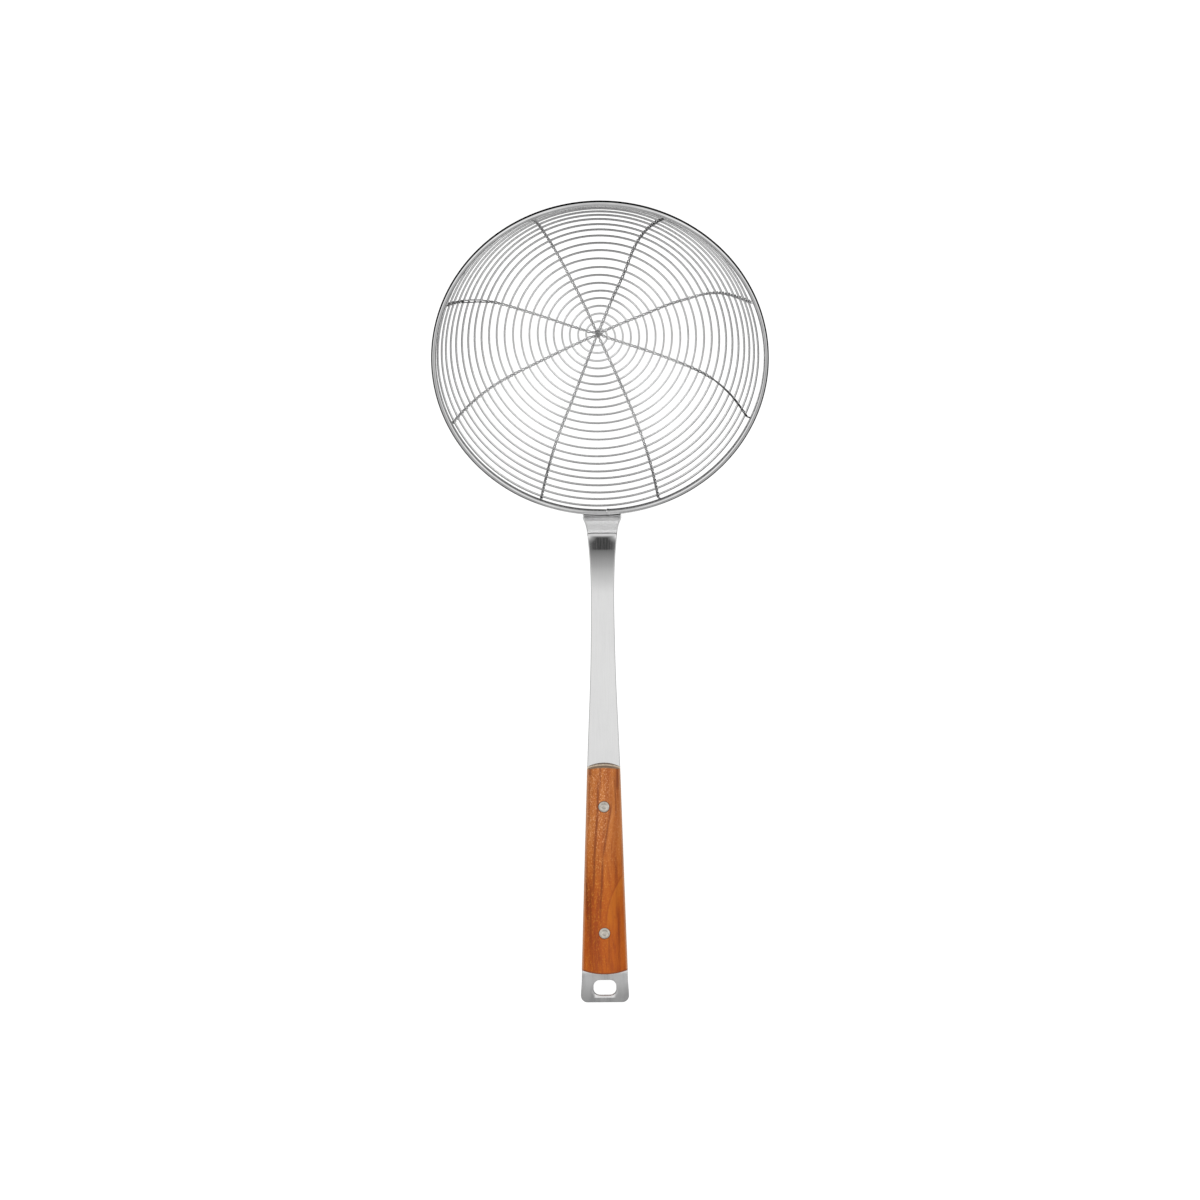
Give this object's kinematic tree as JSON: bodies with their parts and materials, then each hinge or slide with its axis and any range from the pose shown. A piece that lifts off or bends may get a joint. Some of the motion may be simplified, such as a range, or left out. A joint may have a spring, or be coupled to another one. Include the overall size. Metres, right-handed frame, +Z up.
{
  "type": "spider skimmer",
  "caption": "Spider skimmer: dished spiral-wire basket in a folded rim, bent steel bar handle, riveted wooden grip with a hanging slot.",
  "frame": {"origin": "bottom centre of the bounding box, on the table that the skimmer lies on", "axes": "+Y from the grip's tail towards the far side of the basket, +X to the right seen from above, +Z up from the table; the rim plane leans 21 degrees and the grip slopes 7.6 degrees, as the skimmer lies"},
  "size_m": [0.1608, 0.3828, 0.0772],
  "materials": {
    "rim_steel": "polished stainless",
    "wire_steel": "bright drawn wire",
    "bar_steel": "satin polished stainless",
    "grip_wood": "oiled reddish-brown hardwood",
    "rivet_steel": "ground flush, satin"
  },
  "bodies": {
    "root": {"rim_band": "rim_steel", "rim_hoop_wire": "wire_steel", "spiral_wire": "wire_steel", "spoke_a_upper_strand": "wire_steel", "spoke_a_lower_strand": "wire_steel", "spoke_b_upper_strand": "wire_steel", "spoke_b_lower_strand": "wire_steel", "spoke_c_upper_strand": "wire_steel", "spoke_c_lower_strand": "wire_steel", "spoke_d_upper_strand": "wire_steel", "spoke_d_lower_strand": "wire_steel", "handle_bar": "bar_steel", "front_scale": "grip_wood", "back_scale": "grip_wood", "upper_rivet_tube": "rivet_steel", "upper_rivet_pin": "rivet_steel", "lower_rivet_tube": "rivet_steel", "lower_rivet_pin": "rivet_steel"}
  },
  "joints": []
}
